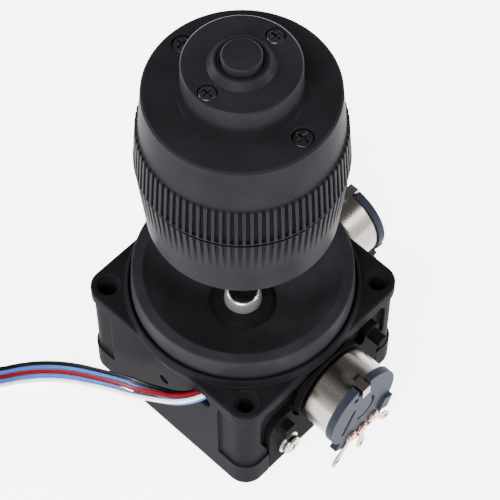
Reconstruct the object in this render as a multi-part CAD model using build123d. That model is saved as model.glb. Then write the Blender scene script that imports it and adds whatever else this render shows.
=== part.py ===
from build123d import *
from math import acos, asin, atan2, cos, degrees, hypot, pi, radians, sin, sqrt, tan
import os

# Two-axis joystick with a twist knob and a top button, in millimetres.
# The origin is on the stick's axis, in the plane of the base's bottom face, and +Z points up the stick.

# Base moulding
base_side = 60.0
deck_rise = 13.5
base_corner_radius = 5.5
wall = 2.5
flange_thickness = 4.0
foot_band = 9.0
post_relief = 0.7
post_relief_width = 10.3
hole_pitch = 50.0
hole_radius = 2.0
countersink_radius = 3.25
countersink_depth = 1.8
edge_round = 0.4
journal_wall = 2.2
journal_length = 2.5
screw_post_wall = 1.6
bottom_post_height = 9.0
bottom_screw_grip = 7.0
cover_screw_web = 3.0
cover_fit = 0.15

# Lip round the bowl, and the bowl cover that sits inside it
lip_width = 0.7
lip_height = 2.1
lip_swell = 0.5
lip_skirt = 1.3
lip_round = 0.2
seat_depth = 1.0
cover_clearance = 0.5
cover_radius = 29.6
cover_taper = 0.55
cover_height = 8.6
cover_wall = 2.2
rim_width = 3.05
bowl_sagitta = 2.2
seat_width = 5.6

# Pivot ball and its socket
ball_radius = 10.0
ball_fit = 0.08
socket_wall_extra = 0.3
socket_top = 4.5
socket_bottom = 3.6
ball_flat = 5.3
ball_foot = 7.0
ball_top_radius = 7.6

# Stick
stick_radius = 4.0
stick_bore = 1.85
tail_radius = 2.75
tail_past_bail = 1.82
tail_floor_gap = 1.1
collar_radius = 5.05
collar_height = 3.9

# Crossed bails
bail_thickness = 2.3
bail_gap = 0.7
bail_rim = 1.6
bail_chamfer = 1.0
slot_fit_x = 0.25
slot_fit_y = 0.9
tilt_limit = 25.0
hub_radius = 4.6
pin_radius = 1.5
pin_fit = 0.08
centring_wire = 1.0
neck_radius = 3.2
sleeve_radius = 2.8
finger_span = (4.6, 6.0)
peg_span = (6.5, 8.3)
spring_tip = (1.7, 8.7)
spring_turns = 2
coil_pitch_share = 1.08
leg_gap = 0.04
leg_overlap = 0.4
finger_foot_thickness = 0.8

# Potentiometers at the base's sides
recess_depth = 2.2
recess_half_width = 24.0
recess_foot_half_width = 21.3
recess_top_gap = 0.2
recess_waist_low = 0.34
recess_waist_high = 0.55
recess_crown_round = 6.0
recess_waist_round = 4.0
bracket_radius = 12.1
bracket_boss = 2.0
can_radius = 11.5
can_length = 9.2
can_wall = 0.8
wafer_radius = 12.1
wafer_thickness = 2.2
wafer_tongue = 15.0
tongue_half_angle = 42.0
shaft_radius = 3.0
shaft_fit = 0.05
bush_radius = 3.6
rivet_circle = 11.0
rivet_angle = 23.0
rivet_radius = 0.9
lug_length = 10.8
lug_splay = 38.0
lug_thickness = 0.5
groove_radius = 4.0
groove_depth = 0.8
stop_place = (8.6, -7.4)
stop_height = 1.0
notch_half = 2.2
notch_floor = 9.0
dent_radius = 2.6
dent_depth = 0.9
post_radius = 1.8
post_place = 18.3
stub_place = 15.7
post_length = 4.0
stub_drop = 6.2
stub_size = (2.6, 3.4, 4.0)
bracket_screw_height = 7.0
bracket_screw_gap = 2.2
bracket_ear_round = 5.0
bracket_fit = 0.3
bracket_groove = 0.8
bracket_groove_depth = 1.2
pot_opening_wall = 4.4
rivet_lip = 0.6
rivet_wall = 0.4
lug_eye_wall = 0.9
lug_width = 1.7
tab_inset = 0.3

# Knob
knob_bottom = 73.4
lower_height = 23.6
lower_taper = 1.9
split_radius = 26.0
split_gap = 0.4
knurl_stand = 0.1
knurl_taper = 0.9
knurl_height = 12.8
flute_count = 88
flute_depth = 0.75
flute_land_share = 0.36
flute_floor_share = 0.44
flute_rim = 0.5
lower_flute_depth = 1.05
band_step = 0.8
band_taper = 1.05
upper_height = 26.2
upper_wall = 1.55
knob_wall = 2.6
knob_top_wall = 3.0
spigot_fit = 0.4
spigot_height = 2.5
knob_screw_inset = 2.8
knob_screw_head = 2.6
knob_screw_length = 11.0
knob_edge = 0.5
stick_socket = 8.0
stick_socket_wall = 3.0
stick_nut_thickness = 3.0
plate_post_inset = 5.4

# Twist mechanism inside the knob
plate_drop = 5.1
plate_thickness = 2.0
twist_pot_radius = 8.0
twist_pot_clearance = 0.9
twist_bush = 3.0
twist_shaft_radius = 2.0
rotor_rise = 3.9
rotor_thickness = 2.0
twist_spring_radius = 6.2
twist_spring_tip = (1.85, 12.8)
twist_post_span = (10.6, 12.4)
twist_finger_span = (8.2, 9.8)
twist_post_height = 5.4
twist_plate_fit = 2.0
twist_bush_rise = 2.8
twist_hub_radius = 4.6
twist_nut_thickness = 1.6

# Cap and button
cap_height = 9.7
cap_radius = 14.0
cap_foot_radius = 15.2
cap_foot_fillet = 4.0
cap_wall = 2.3
cap_screw_place = 11.0
cap_screw_head = 2.25
boss_radius = 8.0
boss_top_radius = 6.45
boss_height = 1.6
button_radius = 4.8
button_fit = 0.3
button_stand = 1.8
button_flange = 1.4
button_flange_height = 1.3

# Small fasteners and leads
small_screw = 1.0
small_head = 1.9
small_head_height = 1.4
m3_radius = 1.5
m3_head = 2.75
washer_radius = 3.4
washer_thickness = 0.6
board_radius = 8.5
board_stand = 0.7
board_thickness = 1.2
switch_height = 2.3
switch_stem = 0.4
switch_side = 6.0
switch_stem_radius = 1.75
button_wire = 0.5
button_coils = 3
screw_fit = 0.2
recessed_head_height = 1.8
lead_diameter = 1.2
lead_hole_radius = 2.2
lead_exit_x = 14.6
lead_exit_drop = 5.6
lead_bundle_radius = 1.12
lead_pitch = 1.3
lead_tip_length = 5.0
first_bend_radius = 4.0


# Sizes and places that follow from the ones above, from the bottom cover up
half_side = base_side / 2
cavity = half_side - wall
pot_wall_face = half_side - recess_depth
pot_wall_inner = pot_wall_face - wall
socket_radius = ball_radius + ball_fit
socket_outer = socket_radius + cover_wall + socket_wall_extra
hole_edge_radius = sqrt(socket_radius ** 2 - socket_top ** 2)
bail_y_inner = socket_outer + bail_gap
bail_x_inner = bail_y_inner + bail_thickness + bail_gap
tail_reach = bail_x_inner + bail_thickness + tail_past_bail
pivot_height = wall + tail_floor_gap + tail_reach
base_height = pivot_height + deck_rise
seat_z = base_height - seat_depth
cover_top_radius = cover_radius - cover_taper
rim_radius = cover_top_radius - rim_width
lip_inner = cover_radius + cover_clearance
lip_outer = lip_inner + lip_width
cover_top = base_height + cover_height
lead_exit_z = base_height - lead_exit_drop
finger_foot = bail_x_inner + bail_thickness + finger_foot_thickness
centring_radius = sleeve_radius + 0.3 + centring_wire / 2
hub_end = pot_wall_inner - 0.7
can_start = half_side + bracket_boss
wafer_start = can_start + can_length
wafer_end = wafer_start + wafer_thickness
split_height = knob_bottom + lower_height
knob_top = split_height + upper_height
knob_bottom_radius = split_radius - lower_taper
lower_flute_radius = split_radius - lower_flute_depth
knurl_radius = split_radius + knurl_stand
knurl_top_radius = knurl_radius - knurl_taper
band_radius = knurl_top_radius - band_step
knob_top_radius = band_radius - band_taper
knob_inner_radius = knob_top_radius - upper_wall
spigot_radius = knob_inner_radius - spigot_fit
knob_screw_place = knob_inner_radius - knob_screw_inset
plate_bottom = split_height - plate_drop
plate_top = plate_bottom + plate_thickness
rotor_bottom = split_height + rotor_rise


def solid_of_revolution(points, axis=Axis.Z):
    """Turn a closed half-section, given as (radius, height) points, about an axis."""
    with BuildSketch(Plane.XZ) as section:
        with BuildLine():
            Polyline(*points, close=True)
        make_face()
    return revolve(section.sketch, axis)


def tube(radius, bottom, top, x=0.0, y=0.0):
    """Upright cylinder between two heights."""
    return Pos(x, y, bottom) * Cylinder(radius, top - bottom, align=(Align.CENTER, Align.CENTER, Align.MIN))


def bar_x(radius, start, end, y=0.0, z=pivot_height):
    """Round bar along X between two places."""
    return Pos(start, y, z) * Rot(0, 90, 0) * Cylinder(
        radius, end - start, align=(Align.CENTER, Align.CENTER, Align.MIN))


def corners(distance):
    """Four places at the same distance from both middle planes."""
    return [(sx * distance, sy * distance) for sx in (-1, 1) for sy in (-1, 1)]


def swap_xy(shape):
    """Mirror a shape in the upright plane between +X and +Y, which turns an X piece into its Y twin."""
    return mirror(shape, about=Plane(origin=(0, 0, 0), z_dir=(1, -1, 0)))


def save(name, shape):
    """Write one piece, or one group of like pieces, to its own file."""
    export_step(shape, f"parts/{name}.step")


# Base housing: one moulding, open below, with the bowl's seat, four posts and two recesses
def relieved_corner(x, y):
    band = Pos(x, y, foot_band) * Box(
        2 * post_relief_width, 2 * post_relief_width, base_height - flange_thickness - foot_band,
        align=(Align.CENTER, Align.CENTER, Align.MIN))
    side = base_side - 2 * post_relief
    return band - extrude(RectangleRounded(side, side, base_corner_radius - post_relief), base_height)


def recess_outline():
    """Arched outline of a potentiometer recess, seen along -X, open at the foot."""
    top = base_height - flange_thickness - recess_top_gap
    low, high = top * recess_waist_low, top * recess_waist_high
    with BuildSketch() as outline:
        with BuildLine():
            Polyline((-recess_foot_half_width, -1), (-recess_foot_half_width, low),
                     (-recess_half_width, high), (-recess_half_width, top),
                     (recess_half_width, top), (recess_half_width, high),
                     (recess_foot_half_width, low), (recess_foot_half_width, -1), close=True)
        make_face()
        crown = [v for v in outline.vertices() if v.Y > top - 0.1]
        fillet(crown, recess_crown_round)
        waist = [v for v in outline.vertices() if low - 0.1 < v.Y < high + 0.1]
        fillet(waist, recess_waist_round)
    return outline.sketch


def facing_x(sketch, start, thickness):
    """Stand a sketch drawn as (y, z) on a plane across X and thicken it outwards."""
    plane = Plane(origin=(start, 0, 0), x_dir=(0, 1, 0), z_dir=(1, 0, 0))
    return extrude(plane * sketch, thickness)


def lip_collar():
    foot = base_height - flange_thickness - 1
    swell = half_side + lip_swell + lip_width
    top = base_height + lip_height
    return solid_of_revolution([
        (cavity, foot), (half_side, foot), (swell, base_height - lip_skirt), (swell, base_height),
        (lip_outer, top - lip_round), (lip_outer - lip_round, top), (lip_inner, top),
        (lip_inner, seat_z), (cavity, seat_z)])


def journal_boss():
    """Boss inside the plain wall, in which a bail's pin turns."""
    return bar_x(pin_radius + journal_wall, -cavity - 0.1, -cavity + journal_length)


def base_housing():
    block = extrude(RectangleRounded(base_side, base_side, base_corner_radius), base_height)
    block = chamfer(block.faces().sort_by(Axis.Z)[-1].edges(), edge_round)
    for x, y in corners(half_side):
        block -= relieved_corner(x, y)
    room = Box(cavity + pot_wall_inner, cavity + pot_wall_inner, base_height - flange_thickness,
               align=(Align.MIN, Align.MIN, Align.MIN))
    room = Pos(-cavity, -cavity, 0) * room
    for x, y in corners(hole_pitch / 2):
        room -= tube(base_corner_radius, -1, base_height, x, y)
    for x, y in corners(cover_screw_place()):
        room -= tube(small_screw + screw_post_wall, cover_screw_head(), base_height, x, y)
    for x, y in corners(bottom_screw_place()):
        room -= tube(small_screw + screw_post_wall, wall, wall + bottom_post_height, x, y)
    body = block - room + lip_collar()
    body -= tube(lip_inner, seat_z, base_height + lip_height + 1)
    body -= tube(lip_inner - seat_width, 0, base_height + 1)
    for boss in (journal_boss(), spring_peg()):
        body += boss
        body += swap_xy(boss)
    recess = facing_x(recess_outline(), pot_wall_face, base_side)
    opening = bar_x(bush_radius + pot_opening_wall, pot_wall_inner - 1, half_side + 1)
    pin_bore = bar_x(pin_radius + pin_fit, -half_side - 1, -cavity + 5)
    for cut in (recess, opening, pin_bore):
        body -= cut
        body -= swap_xy(cut)
    for x, y in corners(hole_pitch / 2):
        body -= tube(hole_radius, -1, base_height + 1, x, y)
        body -= Pos(x, y, base_height - countersink_depth) * Cone(
            hole_radius, countersink_radius, countersink_depth, align=(Align.CENTER, Align.CENTER, Align.MIN))
    for x, y in corners(cover_screw_place()):
        body -= tube(small_screw + screw_fit, 0, base_height, x, y)
    for x, y in corners(bottom_screw_place()):
        body -= tube(small_screw, 0, wall + bottom_screw_grip + 1, x, y)
    for y in (-bracket_screw_place(), bracket_screw_place()):
        thread = bar_x(m3_radius, pot_wall_inner - 6, half_side + 1, y, bracket_screw_height)
        boss = bar_x(m3_radius + screw_post_wall, pot_wall_inner - 5, pot_wall_face, y, bracket_screw_height)
        body += boss
        body += swap_xy(boss)
        body -= thread
        body -= swap_xy(thread)
    lead_hole = Pos(lead_exit_x, -half_side, lead_exit_z) * Rot(90, 0, 0)
    body -= lead_hole * Cylinder(lead_hole_radius, 7 * wall)
    body -= lead_hole * Pos(0, 0, -0.5) * Cone(
        lead_hole_radius, lead_hole_radius + 0.5, 0.5, align=(Align.CENTER, Align.CENTER, Align.MIN))
    return body


def cover_screw_place():
    return (lip_inner - seat_width + 1.4) / sqrt(2)


def bottom_screw_place():
    return hole_pitch / 2 - base_corner_radius


def cover_screw_head():
    """Height of the seat for the heads of the screws that hold the bowl cover."""
    return base_height - flange_thickness - cover_screw_web


def bracket_screw_place():
    return bracket_radius + bracket_screw_gap


# Bottom cover: flat plate set into the housing's foot
def bottom_cover():
    size = cavity + pot_wall_inner - 2 * cover_fit
    plate = Pos(-cavity + cover_fit, -cavity + cover_fit, 0) * Box(
        size, size, wall, align=(Align.MIN, Align.MIN, Align.MIN))
    for x, y in corners(hole_pitch / 2):
        plate -= tube(base_corner_radius + cover_fit, -1, wall + 1, x, y)
    for x, y in corners(bottom_screw_place()):
        plate -= tube(small_screw + screw_fit, -1, wall + 1, x, y)
        plate -= tube(small_head + screw_fit, -1, small_head_height, x, y)
    return plate


def small_screw_up(x, y, head_bottom, tip):
    """Small cheese-head screw driven upwards, with a cross recess in its head."""
    screw = tube(small_head, head_bottom, head_bottom + small_head_height, x, y)
    screw += tube(small_screw, head_bottom + small_head_height, tip, x, y)
    return screw - cross_recess(small_head * 0.62, x, y, head_bottom - 0.01, 0.7)


def cross_recess(reach, x, y, bottom, depth):
    bar = Box(2 * reach, reach * 0.42, depth, align=(Align.CENTER, Align.CENTER, Align.MIN))
    return Pos(x, y, bottom) * (bar + Rot(0, 0, 90) * bar)


def bottom_screws():
    return [small_screw_up(x, y, 0, wall + bottom_screw_grip) for x, y in corners(bottom_screw_place())]


def cover_screws():
    head = cover_screw_head() - small_head_height
    return [small_screw_up(x, y, head, seat_z + 2.8) for x, y in corners(cover_screw_place())]


# Bowl cover: conical skirt, flat rim, concave bowl and the ball's upper socket
def bowl_arc():
    """Centre and radius of the bowl's concave arc, in (radius, height)."""
    inner = (hole_edge_radius, pivot_height + socket_top)
    outer = (rim_radius, cover_top - 0.3)
    run, rise = outer[0] - inner[0], outer[1] - inner[1]
    chord = hypot(run, rise)
    radius = chord ** 2 / (8 * bowl_sagitta) + bowl_sagitta / 2
    reach = radius - bowl_sagitta
    middle = ((inner[0] + outer[0]) / 2, (inner[1] + outer[1]) / 2)
    return middle[0] - rise / chord * reach, middle[1] + run / chord * reach, radius


def bowl_point(r, depth=0.0):
    """Height of the bowl's surface, or of one that lies a wall's depth under it, at a radius."""
    x, z, radius = bowl_arc()
    return z - sqrt((radius + depth) ** 2 - (r - x) ** 2)


def bowl_cover():
    skirt_inner = cover_radius - cover_wall
    edge_z = pivot_height + socket_top
    sphere_middle = (socket_radius * cos(0.22), pivot_height + socket_radius * sin(0.22))
    middle = (hole_edge_radius + rim_radius) / 2
    under = (socket_outer + skirt_inner) / 2
    with BuildSketch(Plane.XZ) as section:
        with BuildLine():
            Polyline((skirt_inner, seat_z), (cover_radius, seat_z), (cover_top_radius, cover_top - 0.3),
                     (cover_top_radius - 0.3, cover_top), (rim_radius, cover_top - 0.3))
            ThreePointArc((rim_radius, cover_top - 0.3), (middle, bowl_point(middle)),
                          (hole_edge_radius, edge_z))
            ThreePointArc((hole_edge_radius, edge_z), sphere_middle, (socket_radius, pivot_height))
            Polyline((socket_radius, pivot_height), (socket_outer, pivot_height),
                     (socket_outer, bowl_point(socket_outer, cover_wall)))
            ThreePointArc((socket_outer, bowl_point(socket_outer, cover_wall)),
                          (under, bowl_point(under, cover_wall)),
                          (skirt_inner, bowl_point(skirt_inner, cover_wall)))
            Line((skirt_inner, bowl_point(skirt_inner, cover_wall)), (skirt_inner, seat_z))
        make_face()
    cover = revolve(section.sketch, Axis.Z)
    for x, y in corners(cover_screw_place()):
        cover += tube(small_screw + 1.1, seat_z, seat_z + 3.6, x, y)
        cover -= tube(small_screw, seat_z - 1, seat_z + 3.0, x, y)
    for x, y in corners(retainer_screw_place()):
        cover += tube(small_screw + 1.2, pivot_height, pivot_height + 6, x, y)
        cover -= tube(small_screw, pivot_height - 1, pivot_height + 4.5, x, y)
    return cover


def retainer_screw_place():
    return (socket_outer + 2.0) / sqrt(2)


# Ball retainer: ring that closes the socket from below
def ball_retainer():
    low = pivot_height - socket_bottom
    low_inner = sqrt(socket_radius ** 2 - socket_bottom ** 2)
    middle = (socket_radius * cos(0.18), pivot_height - socket_radius * sin(0.18))
    with BuildSketch(Plane.XZ) as section:
        with BuildLine():
            ThreePointArc((socket_radius, pivot_height), middle, (low_inner, low))
            Polyline((low_inner, low), (low_inner + 1.6, low), (socket_outer, low + 1.6),
                     (socket_outer, pivot_height), (socket_radius, pivot_height))
        make_face()
    ring = revolve(section.sketch, Axis.Z)
    for x, y in corners(retainer_screw_place()):
        ring += tube(small_screw + 1.2, pivot_height - 2.4, pivot_height, x, y)
    ring -= Pos(0, 0, pivot_height) * Sphere(socket_radius)
    for x, y in corners(retainer_screw_place()):
        ring -= tube(small_screw + 0.15, pivot_height - 5, pivot_height + 1, x, y)
    return ring


def retainer_screws():
    head = pivot_height - 2.4 - small_head_height
    return [small_screw_up(x, y, head, pivot_height + 4.2) for x, y in corners(retainer_screw_place())]


# Pivot ball: moulded on the stick, flat on top, with a rounded shoulder
def pivot_ball():
    ball = Pos(0, 0, pivot_height) * Sphere(ball_radius)
    ball &= tube(ball_radius + 1, pivot_height - ball_foot, pivot_height + ball_flat)
    top = pivot_height + ball_flat
    shoulder = solid_of_revolution([
        (ball_top_radius, top), (ball_radius + 1, top), (ball_radius + 1, top - 1.6),
        (hole_edge_radius, top - 1.1)])
    return ball - shoulder - tube(stick_radius, 0, base_height)


# Stick: polished hollow rod with a thin tail that drives the bails
def stick_tube():
    tail = pivot_height - tail_reach
    shoulder = pivot_height - ball_foot
    top = stick_top()
    return solid_of_revolution([
        (stick_bore, tail), (tail_radius - 0.4, tail), (tail_radius, tail + 0.4), (tail_radius, shoulder),
        (stick_radius, shoulder), (stick_radius, top - 0.4), (stick_radius - 0.4, top), (stick_bore, top)])


def stick_top():
    return knob_bottom + knob_wall + stick_socket


def stick_collar():
    foot = pivot_height + ball_flat
    with BuildSketch(Plane.XZ) as section:
        with BuildLine():
            Polyline((stick_radius, foot + collar_height), (stick_radius, foot), (collar_radius - 0.15, foot),
                     (collar_radius, foot + 0.9))
            ThreePointArc((collar_radius, foot + 0.9), (collar_radius - 0.22, foot + collar_height * 0.62),
                          (stick_radius, foot + collar_height))
        make_face()
    return revolve(section.sketch, Axis.Z)


def stick_leads():
    """Five leads from the knob, side by side in the hollow stick."""
    ring = lead_diameter / 2 / sin(pi / 5) + 0.02
    bottom, top = pivot_height - tail_reach + 1, stick_top() - 1
    return [tube(lead_diameter / 2, bottom, top, ring * cos(2 * pi * k / 5), ring * sin(2 * pi * k / 5))
            for k in range(5)]


# Bails: slotted half-rings below the ball, each turned by the stick's tail in one direction
def bail_x():
    return bail(bail_x_inner, slot_fit_x)


def bail_y():
    return swap_xy(bail(bail_y_inner, slot_fit_y))


def bail(inner, slot_fit):
    """Half-ring across X, with a hub for the potentiometer's shaft at +X and a pin at -X."""
    outer = inner + bail_thickness
    slot = tail_radius + slot_fit
    half_width = slot + bail_rim
    swing = radians(tilt_limit) + asin(slot / inner) + 0.03
    half_ring = Circle(outer) - Circle(inner)
    half_ring &= Pos(0, -outer) * Rectangle(2 * outer, 2 * outer)
    upright = Plane(origin=(0, half_width, pivot_height), x_dir=(1, 0, 0), z_dir=(0, -1, 0))
    ring = extrude(upright * half_ring, 2 * half_width)
    rounds = ring.edges().filter_by(GeomType.CIRCLE)
    ring = chamfer([edge for edge in rounds if edge.radius > inner + 0.1], bail_chamfer)
    wedge = Polyline((0, 0), (2 * outer * sin(swing), -2 * outer * cos(swing)),
                     (-2 * outer * sin(swing), -2 * outer * cos(swing)), (0, 0))
    slot_plane = Plane(origin=(0, slot, pivot_height), x_dir=(1, 0, 0), z_dir=(0, -1, 0))
    ring -= extrude(slot_plane * make_face(wedge), 2 * slot)
    ring += bar_x(neck_radius, inner + 0.3, outer + finger_foot_thickness)
    ring += bar_x(neck_radius, -outer - 0.6, -inner - 0.3)
    ring += bar_x(hub_radius, outer + 0.1, hub_end)
    ring += bar_x(hub_radius - 0.7, -finger_foot, -outer - 0.1)
    ring += bar_x(sleeve_radius, -cavity + 2.7, -finger_foot + 0.2)
    ring += bar_x(pin_radius, -half_side + 0.8, -cavity + 2.9)
    ring += spring_finger()
    return ring - d_shaft(shaft_radius + 0.02, inner + 0.8, hub_end + 1)


def d_shaft(radius, start, end):
    """Round bar along X with the flat that a potentiometer's shaft has."""
    flat = Pos(start, 0, pivot_height + radius * 0.7) * Box(
        end - start, 2 * radius, radius, align=(Align.MIN, Align.CENTER, Align.MIN))
    return bar_x(radius, start, end) - flat


def spring_finger():
    """Finger that stands on a bail's hub and reaches over the centring spring, between its legs."""
    low, high = finger_span
    half_width = leg_room(centring_radius, centring_wire, spring_tip, high)
    arm = Pos(-finger_foot + finger_foot_thickness, 0, pivot_height + low) * Box(
        cavity - finger_foot - 2.2, 2 * half_width, high - low, align=(Align.MAX, Align.CENTER, Align.MIN))
    foot = Pos(-finger_foot, 0, pivot_height) * Box(
        finger_foot_thickness, 2 * half_width, high, align=(Align.MIN, Align.CENTER, Align.MIN))
    return arm + foot


# Centring springs: one torsion spring round each bail's sleeve
def leg_line(coil_radius, tip):
    """Point where a straight leg leaves its coil so that it reaches a tip, and that point's angle."""
    reach = hypot(*tip)
    angle = degrees(atan2(tip[1], tip[0])) - degrees(acos(coil_radius / reach))
    return (coil_radius * cos(radians(angle)), coil_radius * sin(radians(angle))), angle


def leg_room(coil_radius, wire, tip, reach):
    """Half the room between the two legs of a torsion spring, at a distance from its axis."""
    (x, y), _ = leg_line(coil_radius, tip)
    slope = (x - tip[0]) / (tip[1] - y)
    return x - slope * (reach - y) - wire / 2 * hypot(1, slope) - leg_gap


def rod(start, end, radius):
    """Straight round bar from one point to another."""
    plane = Plane(origin=start, z_dir=Vector(*end) - Vector(*start))
    return extrude(plane * Circle(radius), (Vector(*end) - Vector(*start)).length)


def leg(x, y, tip, height, wire):
    """Straight leg of a spring, begun a little way back so that it joins the coil."""
    reach = hypot(tip[0] - x, tip[1] - y)
    back = leg_overlap / reach
    start = (x - (tip[0] - x) * back, y - (tip[1] - y) * back, height)
    return rod(start, (tip[0], tip[1], height), wire / 2 - leg_gap)


def torsion_spring(coil_radius, wire, turns, tip):
    """Coil about Z whose two straight legs reach out on both sides of a post."""
    (x, y), angle = leg_line(coil_radius, tip)
    pitch = wire * coil_pitch_share
    sweep_angle = 360 * turns + 180 + 2 * angle
    height = pitch * sweep_angle / 360
    helix = Helix(pitch, height, coil_radius, lefthand=True)
    coil = sweep(Plane(origin=helix @ 0, z_dir=helix % 0) * Circle(wire / 2), path=helix, is_frenet=True)
    spring = Rot(0, 0, angle) * coil
    spring += leg(x, y, tip, 0, wire)
    spring += leg(-x, y, (-tip[0], tip[1]), height, wire)
    return spring


def centring_spring_x():
    upright = Plane(origin=(-cavity + 3.4, 0, pivot_height), x_dir=(0, 1, 0), z_dir=(1, 0, 0))
    return upright * torsion_spring(centring_radius, centring_wire, spring_turns, spring_tip)


def centring_spring_y():
    return swap_xy(centring_spring_x())


def spring_peg():
    """Fixed peg on the plain wall, which the spring's legs also hold."""
    low, high = peg_span
    half_width = leg_room(centring_radius, centring_wire, spring_tip, high)
    return Pos(-cavity - 0.1, 0, pivot_height + low) * Box(
        7.4, 2 * half_width, high - low, align=(Align.MIN, Align.CENTER, Align.MIN))


# Potentiometer brackets: black plates in the recesses, each with a round boss and two ears
def bracket_x():
    ear_top = pivot_height - 1
    half_width = recess_foot_half_width - bracket_fit
    with BuildSketch() as outline:
        with BuildLine():
            Polyline((-half_width, bracket_fit), (half_width, bracket_fit), (half_width, ear_top),
                     (-half_width, ear_top), close=True)
        make_face()
        fillet([v for v in outline.vertices() if v.Y > ear_top - 0.1], bracket_ear_round)
        with Locations((post_place, pivot_height)):
            Circle(post_radius + 1.2)
    plate = facing_x(outline.sketch, pot_wall_face, recess_depth)
    plate += bar_x(hub_radius + pot_opening_wall, pot_wall_face, half_side)
    plate += bar_x(bracket_radius, half_side, can_start)
    plate -= tube(half_side + lip_swell + lip_width + 0.15, base_height - flange_thickness - 1.3, base_height)
    groove = bar_x(bracket_radius + bracket_groove, half_side - bracket_groove_depth, half_side)
    plate -= groove - bar_x(bracket_radius, half_side - 2, half_side + 1)
    plate += bar_x(post_radius, half_side - 0.1, half_side + post_length, post_place, pivot_height)
    plate += Pos(half_side - 0.1, -stub_place, pivot_height - stub_drop) * Box(
        *stub_size, align=(Align.MIN, Align.CENTER, Align.CENTER))
    plate -= bar_x(bush_radius + 0.1, pot_wall_face - 1, can_start + 1)
    for y in (-bracket_screw_place(), bracket_screw_place()):
        plate -= bar_x(m3_radius + 0.3, pot_wall_face - 1, half_side + 1, y, bracket_screw_height)
    return plate


def bracket_screws_x():
    screws = []
    for y in (-bracket_screw_place(), bracket_screw_place()):
        z = bracket_screw_height
        head = bar_x(m3_head, half_side + washer_thickness, half_side + washer_thickness + 2.0, y, z)
        head = fillet(head.faces().sort_by(Axis.X)[-1].edges(), 0.9)
        shank = bar_x(m3_radius, pot_wall_inner - 4, half_side + washer_thickness, y, z)
        across = facing_x(Rectangle(m3_head * 1.2, 0.6) + Rectangle(0.6, m3_head * 1.2),
                          half_side + washer_thickness + 1.0, 2)
        screws.append(head + shank - Pos(0, y, z) * across)
    return screws


def bracket_washers_x():
    washers = []
    for y in (-bracket_screw_place(), bracket_screw_place()):
        disc = bar_x(washer_radius, half_side, half_side + washer_thickness, y, bracket_screw_height)
        hole = bar_x(m3_radius + 0.1, half_side - 1, half_side + 2, y, bracket_screw_height)
        washers.append(disc - hole)
    return washers


# Potentiometers: nickel can on a threaded bush, with its terminal wafer, rivets and lugs
def can_x():
    can = bar_x(can_radius, can_start, wafer_start)
    can -= bar_x(can_radius - can_wall, can_start + 1, wafer_start + 1)
    can += bar_x(bush_radius, pot_wall_inner + 0.4, can_start + 0.5)
    can -= bar_x(shaft_radius + shaft_fit, pot_wall_inner - 1, can_start + 2)
    dent = Pos(wafer_start - 3.2, 0, pivot_height + can_radius + dent_radius - dent_depth)
    inside = bar_x(can_radius - 0.1, can_start + 1, wafer_start)
    can += (dent * Sphere(dent_radius + can_wall)) & inside
    can -= dent * Sphere(dent_radius)
    return can + folded_tab()


def folded_tab():
    """Tab of the can's rim, bent down over the wafer through its notch."""
    top = pivot_height + can_radius - 0.15
    inner_x, outer_x = wafer_start - 0.5, wafer_end + 0.7
    foot = pivot_height + notch_floor + 0.15
    strip = Polyline((inner_x, top - can_wall), (wafer_end, top - can_wall), (wafer_end, foot - 1.2),
                     (outer_x, foot - 1.2), (outer_x, top - 0.5), (outer_x - 0.5, top), (inner_x, top),
                     close=True)
    plane = Plane(origin=(0, notch_half - tab_inset, 0), x_dir=(1, 0, 0), z_dir=(0, -1, 0))
    return extrude(plane * make_face(strip), 2 * (notch_half - tab_inset))


def wafer_x():
    disc = Circle(wafer_radius)
    side = 2 * wafer_tongue * sin(radians(tongue_half_angle))
    down = 2 * wafer_tongue * cos(radians(tongue_half_angle))
    wedge = make_face(Polyline((0, 0), (-side, -down), (side, -down), close=True))
    tongue = Circle(wafer_tongue) & wedge
    notch = Pos(0, wafer_radius) * Rectangle(2 * notch_half, 2 * (wafer_radius - notch_floor))
    sketch = Pos(0, pivot_height) * (disc + tongue - notch)
    wafer = facing_x(sketch, wafer_start, wafer_thickness)
    wafer -= facing_x(Pos(0, pivot_height) * wafer_grooves(), wafer_end - groove_depth, 2)
    stop = Pos(stop_place[0], pivot_height + stop_place[1]) * Rot(0, 0, -25) * Rectangle(3.4, 4.6)
    wafer += facing_x(stop, wafer_end - 0.5, 0.5 + stop_height)
    for y, z in rivet_places():
        wafer -= bar_x(rivet_radius, wafer_start - 1, wafer_end + 1, y, z)
    return wafer


def wafer_grooves():
    """Pattern sunk in the wafer's face: an open ring, a slanting slot and a square pocket."""
    ring = Circle(groove_radius + 0.45) - Circle(groove_radius - 0.45)
    ring -= make_face(Polyline((0, 0), (8, 5), (-8, 12), (-12, -8), (-5, -8), close=True))
    slot = Pos(-5.4, -1.2) * Rot(0, 0, -29) * SlotOverall(9.5, 1.3, rotation=90)
    return ring + slot + Pos(-3.0, 8.0) * Rectangle(1.6, 1.6)


def rivet_places():
    return [(rivet_circle * sin(radians(a)), pivot_height - rivet_circle * cos(radians(a)))
            for a in (-rivet_angle, 0, rivet_angle)]


def rivets_x():
    rivets = []
    lug_face = wafer_end + lug_thickness
    for y, z in rivet_places():
        shank = bar_x(rivet_radius, wafer_start + 0.2, lug_face, y, z)
        head = bar_x(rivet_radius + rivet_lip, lug_face, lug_face + 0.5, y, z)
        bore = bar_x(rivet_radius - rivet_wall, wafer_end - 0.5, wafer_end + 2, y, z)
        rivets.append(shank + head - bore)
    return rivets


def lug():
    """Eyelet lug drawn with its rivet hole at the origin and its tip along -Y."""
    tip = lug_length - 1.4
    outline = Circle(rivet_radius + lug_eye_wall) + Pos(0, -tip / 2) * Rectangle(lug_width, tip)
    outline += Pos(0, -tip + 1.2) * Ellipse(1.4, 2.6)
    return outline - Circle(rivet_radius) - Pos(0, -tip + 1.0) * Ellipse(0.6, 1.3)


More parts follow.
